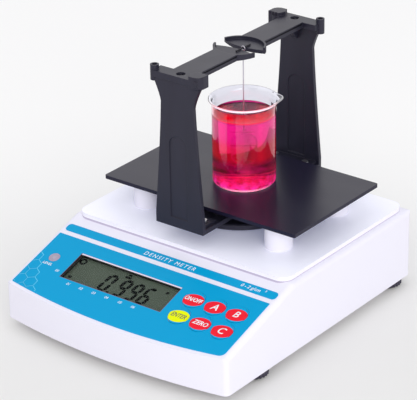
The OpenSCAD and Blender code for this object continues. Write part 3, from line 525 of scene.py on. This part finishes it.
liquid, corners = section([(0, LIQUID_FLOOR), (LIQUID_R, LIQUID_FLOOR), (LIQUID_R, LIQUID_TOP + CLIMB),
                           (LIQUID_R - MENISCUS, LIQUID_TOP), (0, LIQUID_TOP)])
rounded(liquid, [corners[1]], 2.6 * MM)
rounded(liquid, [corners[3]], 1.4 * MM, segments=4)
drink = piece("liquid_body", spun(liquid, BEAKER_AXIS), dye_and_painted_glow, "vessel", smooth=50)
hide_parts("liquid")

# %% [markdown]
# The beaker is spun the same way, from a section that runs up outside, over a rolled rim and
# down inside. Its spout is pulled afterwards, as a glass worker does: the rim is drawn
# outwards, most at the tip, and the pull fades down the wall and to both sides.

# %% Beaker
PLATE_TOP, BEAKER_H = 93.7, 70
WALL_OUT, WALL_IN = 25.0, 23.6
SPOUT_TURN, SPOUT_PULL, SPOUT_WIDTH, SPOUT_DEPTH = 39, 3.8, 24, 9
OUTLINE = [(0, 0.6), (17, 0.6), (19, 0), (WALL_OUT, 0), (WALL_OUT, 64.5), (25.9, 67.9), (27.7, 69.0),
           (27.6, 69.9), (26.6, BEAKER_H), (26.1, 69.5), (24.4, 67.8), (WALL_IN, 64.5), (WALL_IN, 2), (0, 2)]
ROUNDINGS = [((3,), 3.6, 8), ((12,), 2.4, 6), ((4, 11), 2.5, 5), ((6, 7, 8, 9), 0.35, 3), ((5, 10), 0.9, 4)]

beaker, corners = section([(x * MM, (z + PLATE_TOP) * MM) for x, z in OUTLINE])
for places, radius, segments in ROUNDINGS:
    rounded(beaker, [corners[place] for place in places], radius * MM, segments)
spun(beaker, (0, 0, 0), steps=144)
for vert in beaker.verts:
    reach = math.hypot(vert.co.x, vert.co.y)
    aside = math.degrees(math.atan2(vert.co.y, vert.co.x)) - SPOUT_TURN
    above = (vert.co.z / MM - PLATE_TOP - BEAKER_H + SPOUT_DEPTH) / SPOUT_DEPTH
    on_wall = reach > 20 * MM
    if on_wall and above > 0 and abs(aside) < SPOUT_WIDTH:
        share = above ** 1.7 * math.cos(math.radians(aside * 90 / SPOUT_WIDTH)) ** 2
        vert.co.x *= 1 + share * SPOUT_PULL * MM / reach
        vert.co.y *= 1 + share * SPOUT_PULL * MM / reach
bmesh.ops.translate(beaker, verts=beaker.verts, vec=BEAKER_AXIS)
cup = piece("beaker_glass", beaker, glass, "vessel", smooth=50)
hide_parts("beaker")

# %% [markdown]
# The sloped panel has its own frame: x across, s up the slope and h out of the film. A
# matrix takes points from there to the world, so every printed thing on the panel is drawn
# flat first and laid down afterwards.

# %% Panel frame
PANEL_TILT = math.radians(17.5)
FILM_T = 0.4
panel = Matrix.Translation((0, -116 * MM, 39.3 * MM)) @ Matrix.Rotation(PANEL_TILT, 4, "X")


def lay(shape, x, s, h):
    """Moves a shape, drawn flat round its own origin, to (x, s) on the panel at height h, in mm."""
    bmesh.ops.transform(shape, matrix=panel @ Matrix.Translation((x * MM, s * MM, h * MM)), verts=shape.verts)
    return shape


def thicken(shape, height):
    """Gives flat faces a body, downwards from where they are drawn, as closed solids."""
    bmesh.ops.recalc_face_normals(shape, faces=shape.faces)
    for face in shape.faces:
        if face.normal.z < 0:
            face.normal_flip()
    grown = bmesh.ops.extrude_face_region(shape, geom=shape.faces[:], use_keep_orig=True)
    new = [part for part in grown["geom"] if isinstance(part, bmesh.types.BMVert)]
    bmesh.ops.translate(shape, verts=new, vec=(0, 0, -height))
    bmesh.ops.recalc_face_normals(shape, faces=shape.faces)
    return shape


def in_metres(shape):
    """Takes a shape that was drawn in mm to metres."""
    bmesh.ops.scale(shape, verts=shape.verts, vec=(MM, MM, MM))
    return shape


print("panel leans back", round(math.degrees(PANEL_TILT), 1), "degrees")

# %% [markdown]
# The reading is made of plain seven-segment figures. A segment is a bar whose ends are drawn
# to a point, and each figure says which of its seven bars are lit. A display font would need
# a file, and bars are simple. The figures lean a little, which is one shear over the row.

# %% Display figures
READING, FIGURES_AT = "0996", (-36.5, -21.7, -10.3, 1.1)
LIT = {"0": "abcdef", "9": "abcdfg", "6": "acdefg"}
FIGURE_W, FIGURE_H, BAR, BAR_GAP, LEAN = 9.2, 19.8, 2.8, 0.5, 0.13


def bar(shape, centre, length, upright):
    """One lit bar: a rectangle with both ends cut to a point."""
    made = bmesh.ops.create_circle(shape, cap_ends=True, radius=0.5, segments=6)["verts"]
    bmesh.ops.scale(shape, verts=made, vec=(1, 1 / 0.866, 1))
    for vert in made:
        tip = abs(vert.co.y) > 0.5
        x = (length if tip else length - BAR) / 2
        vert.co = Vector((math.copysign(x, vert.co.y), 0 if tip else math.copysign(BAR / 2, vert.co.x), 0))
    if upright:
        bmesh.ops.rotate(shape, verts=made, matrix=Matrix.Rotation(math.pi / 2, 3, "Z"))
    bmesh.ops.translate(shape, verts=made, vec=(*centre, 0))


def figure(shape, left, text):
    """The lit bars of one figure, whose lower left corner is at (left, 0), in mm."""
    across, half = FIGURE_W - BAR, (FIGURE_H - BAR) / 2
    spots = {"a": (0.5, 2, False), "g": (0.5, 1, False), "d": (0.5, 0, False), "f": (0, 1.5, True),
             "b": (1, 1.5, True), "e": (0, 0.5, True), "c": (1, 0.5, True)}
    for name in LIT[text]:
        x, y, upright = spots[name]
        centre = (left + BAR / 2 + x * across, BAR / 2 + y * half)
        bar(shape, centre, (half if upright else across) - BAR_GAP, upright)


def plate_of(shape, width, height, centre):
    """A small rectangle round a centre."""
    made = bmesh.ops.create_grid(shape, x_segments=1, y_segments=1, size=0.5)["verts"]
    bmesh.ops.scale(shape, verts=made, vec=(width, height, 1))
    bmesh.ops.translate(shape, verts=made, vec=(*centre, 0))


reading = bmesh.new()
for place, text in zip(FIGURES_AT, READING):
    figure(reading, place, text)
plate_of(reading, 2.4, 2.4, (-25.0, 1.2))
sheared = Matrix(((1, LEAN, 0, 0), (0, 1, 0, 0), (0, 0, 1, 0), (0, 0, 0, 1)))
bmesh.ops.transform(reading, matrix=sheared, verts=reading.verts)
bmesh.ops.translate(reading, verts=reading.verts, vec=(-0.4, 21.5, 0))
print("figures:", len(READING), "with", len(reading.faces), "faces")

# %% [markdown]
# Four small signs share the display: a ring at the top left, a square dot at the lower left,
# a little weight above the second figure and a dot at the right. They are printed in the
# same ink, so they join the figures in one piece.

# %% Display signs
INK_T, INK_PROUD = 0.1, 0.06
CASE_WALL, FIT_GAP = 2.5, 0.3
CELL_FACE = -(CASE_WALL + FIT_GAP)
SIGNS = [(3.4, 2.4, (-64.2, 25.2)), (5.6, 2.2, (-19.5, 43.0)),
         (3.2, 1.8, (-19.0, 45.6)), (2.6, 2.3, (20, 41.2))]


def ring(shape, outer, inner, centre, segments=24):
    """A flat ring: a disc with its middle taken out."""
    disc = bmesh.ops.create_circle(shape, cap_ends=True, radius=outer, segments=segments)["verts"]
    bmesh.ops.translate(shape, verts=disc, vec=(*centre, 0))
    core = disc[0].link_faces[:]
    bmesh.ops.inset_region(shape, faces=core, thickness=outer - inner,
                           use_boundary=True, use_even_offset=True)
    bmesh.ops.delete(shape, geom=core, context="FACES")


ring(reading, 3.3, 1.7, (-64.6, 43.3))
for width, tall, centre in SIGNS:
    plate_of(reading, width, tall, centre)
thicken(in_metres(reading), INK_T * MM)
piece("display_reading", lay(reading, 0, 0, CELL_FACE + INK_PROUD), ink, "base", clean=False)

# %% [markdown]
# The display's opening is cut through the film and the case. Seen from above, the cut at its
# top is a pale line and the rest of its edge is thin and dull, its left wall is dark, and
# shade falls on the cell's border. These are painted: a painted highlight for the pale line
# and painted shade for the rest, each a thin flat piece laid in the opening.

# %% Display edge
LCD_W, LCD_H, LCD_X, LCD_S = 98.4, 28.6, -19.6, 33.9
PALE_EDGE, DULL_EDGE, RECESS_SHADE, WALL_H = 1.1, 0.4, 0.9, 1.4


def painted_edge(name, colour):
    """A slightly uneven matt finish, for painted light and shade round the display."""
    finish = Finish(name, colour, 0.35, IOR=1.5)
    finish.relief(finish.noise(0.0005), 0.00001, 0.2)
    return finish


def edge_piece(name, finish, shape, height, h):
    """A flat shape in mm, given its height and laid round the display."""
    thick = thicken(in_metres(shape), height * MM)
    return piece(name, lay(thick, LCD_X, LCD_S, h), finish, "base", clean=False)


def frame_of(shape, width, height, thickness):
    """A flat rectangular frame that grows inwards from its outer size."""
    plate_of(shape, width, height, (0, 0))
    middle = shape.faces[:]
    bmesh.ops.inset_region(shape, faces=middle, thickness=thickness,
                           use_boundary=True, use_even_offset=True)
    bmesh.ops.delete(shape, geom=middle, context="FACES")


top_bar, side, rim, recess_shade = (bmesh.new() for _ in range(4))
plate_of(top_bar, LCD_W, PALE_EDGE, (0, (LCD_H - PALE_EDGE) / 2))
plate_of(side, DULL_EDGE, LCD_H, ((DULL_EDGE - LCD_W) / 2, 0))
frame_of(rim, LCD_W + DULL_EDGE, LCD_H + DULL_EDGE, DULL_EDGE)
frame_of(recess_shade, LCD_W, LCD_H, RECESS_SHADE)
# Painted highlight: the pale top line. Painted shade: the dull edge, the dark left wall and the cell's
# border.
edge_piece("display_edge_top", painted_edge("pale_edge", tint(232, 222, 240)), top_bar, 0.3, FILM_T + 0.08)
edge_piece("display_edge", painted_edge("dull_edge", tint(112, 84, 112)), rim, 0.5, FILM_T + 0.05)
edge_piece("display_wall", painted_edge("dark_edge", tint(58, 40, 52)), side, WALL_H, FILM_T + 0.09)
edge_piece("display_gasket", painted_edge("gasket_black", tint(24, 22, 26)), recess_shade, 0.25, CELL_FACE + 0.3)

# %% [markdown]
# Legends are text curves turned into meshes. Only plain words that any such keypad has are
# used, and plain figures beside the display. Text becomes a mesh before it is laid on the
# panel, and its faces are given a little thickness so that each letter is a closed solid.

# %% Lettering helper
PRINT_T, PRINT_PROUD = 0.08, 0.04
LETTER_LEAN = 0.2


def letters(text, size, spread=1.0, lean=0.0, weight=0.0, tall=1.0):
    """Flat letters round their own middle, as a bmesh in metres."""
    curve = bpy.data.curves.new("legend", "FONT")
    curve.body, curve.size, curve.shear = text, size * MM, lean
    curve.align_x, curve.align_y = "CENTER", "CENTER"
    curve.space_character = spread
    curve.offset = weight * MM
    curve.resolution_u = 3
    holder = bpy.data.objects.new("legend", curve)
    bpy.context.scene.collection.objects.link(holder)
    mesh = bpy.data.meshes.new_from_object(holder)
    bpy.data.objects.remove(holder)
    bpy.data.curves.remove(curve)
    shape = bmesh.new()
    shape.from_mesh(mesh)
    bpy.data.meshes.remove(mesh)
    bmesh.ops.remove_doubles(shape, verts=shape.verts, dist=1e-6)
    xs = [vert.co.x for vert in shape.verts]
    ys = [vert.co.y for vert in shape.verts]
    middle = Vector(((min(xs) + max(xs)) / 2, (min(ys) + max(ys)) / 2, 0))
    bmesh.ops.translate(shape, verts=shape.verts, vec=-middle)
    bmesh.ops.scale(shape, verts=shape.verts, vec=(1, tall, 1))
    return shape


def legend(name, text, size, x, s, h, finish, slot, body, **style):
    """Leaning letters printed on the panel or on a key."""
    word = thicken(letters(text, size, lean=LETTER_LEAN, **style), PRINT_T * MM)
    return piece(name, lay(word, x, s, h), finish, body, clean=False)


print("lettering helper ready")

# %% [markdown]
# Six keys: red ones with white legends and one yellow one with a grey legend. The caps are
# round, but the colour on them is printed as an oval, wider than it is high, and the rest of
# the cap is as blue as the film. The oval is a mask: a point is mapped to the oval's own
# axes, and lies in it where x * x + y * y is under 1. Each legend rides on its own key.

# %% Keys
KEY_X, KEY_S, PITCH_X, PITCH_S, KEY_PROUD = 45.8, 22.1, 20.05, 18.9, 0.3
OVAL_X, OVAL_S, OVAL_TURN, OVAL_DROP = 9.2, 6.15, math.radians(8), 0.7
RED_KEY = tint(240, 34, 52), film_white, "red_plastic"
YELLOW_KEY = tint(234, 246, 0), film_grey, "yellow_plastic"
KEYS = [("on_off", "ON/OFF", 0, 1, 4.2, 1.35), ("a", "A", 1, 1, 8.8, 1), ("b", "B", 2, 1, 8.8, 1),
        ("enter", "ENTER", 0, 0, 4.5, 1.3), ("zero", "ZERO", 1, 0, 5.1, 1.15), ("c", "C", 2, 0, 8.8, 1)]


def oval_cap(name, colour, x, s):
    """The film's blue with an oval of another colour round (x, s) on the panel, in mm."""
    cap = printed(name, colour)
    middle = panel @ Vector((x * MM, (s - OVAL_DROP) * MM, 0))
    flat = cap.node("Mapping", {"vector_type": "TEXTURE"},
                    {"Vector": cap.place(), "Location": middle, "Rotation": (PANEL_TILT, 0, 0)})
    oval = cap.node("Mapping", {"vector_type": "TEXTURE"},
                    {"Vector": flat, "Rotation": (0, 0, OVAL_TURN), "Scale": (OVAL_X * MM, OVAL_S * MM, 1)})
    across, along = cap.axis("X", oval), cap.axis("Y", oval)
    cap.feed("Base Color", cap.blend(across * across + along * along < 1, FILM_BLUE, colour))
    return cap


for name, text, column, row, size, tall in KEYS:
    colour, letter, slot = YELLOW_KEY if name == "enter" else RED_KEY
    x, s = KEY_X + column * PITCH_X, KEY_S + row * PITCH_S
    dress(oval_cap(f"cap_{name}", colour, x, s), f"key_{name}")
    legend(f"legend_{name}", text, size, x, s, FILM_T + KEY_PROUD + PRINT_PROUD,
           letter, slot, f"key_{name}_body", weight=0.1, tall=tall)

# %% [markdown]
# Along the display's lower edge stand six small numbers, one for each stored liquid, and one
# more stands at its left. The level has its own small label. The blue strip above the panel
# says what the figures on the display mean: a quantity and its unit. The raised 3 is a
# smaller letter on a higher line.

# %% Small print
FILM_FACE = FILM_T + PRINT_PROUD
MARK_SIZE, MARK_S, MARKS_X = 3.4, 15.5, (-56.8, -44.2, -31.5, -18.8, -5.7, 6.9)


def film_legend(name, text, size, x, s, **style):
    """White letters on the blue film."""
    return legend(name, text, size, x, s, FILM_FACE, film_white, "blue_film", "base", **style)


for count, x in enumerate(MARKS_X, start=1):
    film_legend(f"mark_{count}", f"0{count}", MARK_SIZE, x, MARK_S)
film_legend("mark_zero", "00", MARK_SIZE, -75, 24.2)
film_legend("mark_level", "LEVEL", 3.5, -87.8, 27.9, weight=0.05)
film_legend("strip_quantity", "DENSITY METER", 5.3, 2, 69.0, spread=1.35)
film_legend("strip_unit", "0 - 2 g/cm", 4.4, 78.5, 69.2, weight=0.06)
film_legend("strip_power", "3", 2.6, 91.6, 71.0, weight=0.05)

# %% [markdown]
# A faint honeycomb is printed at the panel's lower left corner. Each cell is a six-sided
# ring on a hexagonal grid, kept where it lies near the corner. The print runs off the film,
# so it is cut along the film's left edge and along its lower one.

# %% Honeycomb print
CELL_PITCH, CELL_LINE = 10.0, 0.45
CELL_R = CELL_PITCH / math.sqrt(3)
COMB_X, COMB_S, COMB_END = -97, 5.4, -83
FILM_CORNERS = [((-101.4, 0, 0), (-1, 0, 0)), ((-101.4, 1.4, 0), (-0.142, -0.99, 0))]

comb = bmesh.new()
for row in range(-1, 4):
    for column in range(3):
        x = COMB_X + (column - (row % 2) / 2) * CELL_PITCH
        s = COMB_S + row * 1.5 * CELL_R
        if x + 0.45 * s < COMB_END:
            ring(comb, CELL_R + CELL_LINE / 2, CELL_R - CELL_LINE / 2, (x, s), segments=6)
for corner, outwards in FILM_CORNERS:
    bmesh.ops.bisect_plane(comb, geom=comb.verts[:] + comb.edges[:] + comb.faces[:], dist=1e-5,
                           plane_co=corner, plane_no=outwards, clear_outer=True)
thicken(in_metres(comb), PRINT_T * MM)
piece("honeycomb_print", lay(comb, 0, 0, FILM_FACE), film_pale, "base", clean=False)

# %% [markdown]
# The beaker's own scale is on its far side, so it is seen through the liquid. Its lines and
# figures are drawn flat, with enough cuts to bend, and are then wrapped round the glass: a
# point's x becomes an angle about the beaker's axis. Brown stain is usual for such marks.

# %% Beaker scale
SCALE_TURN, FIGURE_TURN = math.radians(128), 0.42
FLOOR_T, STEP_ML = 2, 20
STEP_H = STEP_ML * 1000 / (math.pi * WALL_IN ** 2)
LINE_W, LINE_H, SCALE_SIZE = 9, 0.45, 5

stain = Finish("brown_stain", tint(225, 112, 104), 0.4, IOR=1.5)
stain.feed("Roughness", 0.35 + stain.noise(0.002) * 0.1)


def wrap(shape, height, turn):
    """Bends a flat shape in metres round the beaker's wall, its middle at that height in mm."""
    for vert in shape.verts:
        angle = turn + vert.co.x / (WALL_OUT * MM)
        reach = (WALL_OUT + 0.03) * MM + vert.co.z
        vert.co = BEAKER_AXIS + Vector((math.cos(angle) * reach, math.sin(angle) * reach,
                                        vert.co.y + (PLATE_TOP + height) * MM))
    return shape


for count in range(1, 5):
    height = FLOOR_T + count * STEP_H
    line = bmesh.new()
    bmesh.ops.create_grid(line, x_segments=8, y_segments=1, size=0.5)
    bmesh.ops.scale(line, verts=line.verts, vec=(LINE_W * MM, LINE_H * MM, 1))
    wrap(thicken(line, PRINT_T * MM), height, SCALE_TURN)
    piece(f"scale_line_{count}", line, stain, "vessel")
    figures = letters(str(STEP_ML * count), SCALE_SIZE)
    wrap(thicken(figures, PRINT_T * MM), height, SCALE_TURN + FIGURE_TURN)
    piece(f"scale_figure_{count}", figures, stain, "vessel")

# %% [markdown]
# A narrow groove runs along both sides of the two arms, just under their tops. It is too
# fine to cut, so four dark strips stand in for its shade.

# %% Arm grooves
ARM_SIDE, ARM_TOP, ARM_AWAY, FRAME_Y = 10.8, 206.5, 42, 43
GROOVE_L, GROOVE_H, GROOVE_T, GROOVE_DROP = 49.5, 1.2, 0.1, 1.5

groove_shade_strips = bmesh.new()
for arm_middle in (FRAME_Y - ARM_AWAY, FRAME_Y + ARM_AWAY):
    for side in (-1, 1):
        made = bmesh.ops.create_cube(groove_shade_strips, size=1)["verts"]
        bmesh.ops.scale(groove_shade_strips, verts=made, vec=(GROOVE_T, GROOVE_L, GROOVE_H))
        bmesh.ops.translate(groove_shade_strips, verts=made, vec=(side * ARM_SIDE, arm_middle, ARM_TOP - GROOVE_DROP))
# Painted shade: dark strips where the grooves' shade falls.
shade = moulded("groove_black", tint(14, 14, 20), 0.6, Specular_IOR_Level=0.08)
piece("arm_grooves", in_metres(groove_shade_strips), shade, "weighing_frame")

# %% [markdown]
# Under the level's lens lies an air bubble in its liquid: a flat round drop, made from a
# sphere pressed to about a seventh of its height, just proud of the lens so that it reads.

# %% Level bubble
BUBBLE_R, PRESSED = 1.6, 0.15
bubble = bmesh.new()
bmesh.ops.create_uvsphere(bubble, u_segments=24, v_segments=12, radius=BUBBLE_R * MM)
bmesh.ops.scale(bubble, verts=bubble.verts, vec=(1, 1, PRESSED))
bubble_air = Finish("bubble_air", tint(172, 166, 184), 0.1, IOR=1.3)
bubble_air.feed("Roughness", 0.08 + bubble_air.noise(0.002) * 0.05)
piece("level_bubble", lay(bubble, -87.1, 35.6, 0.42), bubble_air, "base", smooth=60)

# %% [markdown]
# The floor is one large plain sheet. It is pale grey near the camera and lighter further
# back, like the picture's sweep. It is an ordinary matt surface that takes the meter's
# shadow, and a faint glow that grows with the distance lightens it. Only the camera,
# reflections and views through glass see that glow, so it lights nothing.

# %% Floor
FLOOR_HALF, SWEEP_TURN = 6, math.radians(37)
floor_shape = bmesh.new()
bmesh.ops.create_grid(floor_shape, x_segments=1, y_segments=1, size=FLOOR_HALF)
floor_mesh = bpy.data.meshes.new("floor")
floor_shape.to_mesh(floor_mesh)
floor_shape.free()
floor = bpy.data.objects.new("floor", floor_mesh)
bpy.context.scene.collection.objects.link(floor)


def seen_rays(tree):
    """Three wires, each 1 for its kind of ray: from the camera, off a shiny surface, through glass."""
    return [tree.node("LightPath", out=f"Is {kind} Ray") for kind in ("Camera", "Glossy", "Transmission")]


paper = Finish("floor_paper", tint(231, 230, 226), 0.9)
paper.feed("Specular IOR Level", 0.1)
sweep = paper.node("Mapping", {"vector_type": "TEXTURE"},
                   {"Vector": paper.place(), "Rotation": (0, 0, SWEEP_TURN)})
depth = paper.axis("Y", sweep)
lift = paper.fade(depth, -0.2, 0.42, low=0.03, high=0.2, interpolation_type="SMOOTHSTEP")
by_camera, by_gloss, by_glass = seen_rays(paper)
paper.feed("Emission Color", paper.blend((by_camera + by_gloss + by_glass) * lift, BLACK, WHITE))
paper.feed("Emission Strength", 1.0)
wear(floor, paper)
print("floor", 2 * FLOOR_HALF, "m square")

# %% [markdown]
# Most of the soft studio light comes from the pale surroundings. To the camera, in
# reflections and through glass they are plain white, and they light the meter a little less
# than that. So two backgrounds replace the usual one, and the kind of ray chooses.

# %% Surroundings
SOFT_WHITE, SOFT_STRENGTH = (0.93, 0.94, 1, 1), 0.86
world = bpy.data.worlds.new("studio")
bpy.context.scene.world = world
world.use_nodes = True
sky = Tree(world.node_tree)
sky.tree.nodes.remove(sky.tree.nodes["Background"])
lights = sky.node("Background", {}, {"Color": SOFT_WHITE, "Strength": SOFT_STRENGTH})
plain = sky.node("Background", {}, {"Color": WHITE, "Strength": 1.0})
by_camera, by_gloss, by_glass = seen_rays(sky)
shown = by_camera.math("MAXIMUM", by_gloss).math("MAXIMUM", by_glass)
chosen = sky.node("MixShader", {}, {0: shown, 1: lights, 2: plain})
sky.put(sky.tree.nodes["World Output"].inputs["Surface"], chosen)
print("surroundings:", world.name, "with", len(sky.tree.nodes), "nodes")

# %% [markdown]
# Four wide, far lamps shape the meter without hard shadows. Two stronger ones at the right
# lighten the housing's long side and the front, and two weak ones, from the left and from
# behind, put a sheen on the faces that look up.

# %% Lamps
LAMP_WHITE = (1, 0.985, 0.95)
LAMPS = [("main_lamp", (-0.9, -0.9, 1.3), 0.08, 1.0, 1.8), ("back_lamp", (-1.1, 1.5, 0.95), 0.12, 1.3, 1.7),
         ("fill_lamp", (1.3, -1.4, 1.0), 0.08, 1.2, 11), ("side_lamp", (2.0, -0.9, 0.28), 0.08, 1.5, 13)]

for name, place, aim_height, size, watts in LAMPS:
    data = bpy.data.lights.new(name, "AREA")
    data.shape, data.size, data.energy, data.color = "DISK", size, watts, LAMP_WHITE
    lamp = bpy.data.objects.new(name, data)
    lamp.location = place
    lamp.rotation_euler = (Vector((0, 0, aim_height)) - Vector(place)).to_track_quat("-Z", "Y").to_euler()
    bpy.context.scene.collection.objects.link(lamp)
    print(name, watts, "W")
bpy.context.scene.view_settings.view_transform = "Standard"
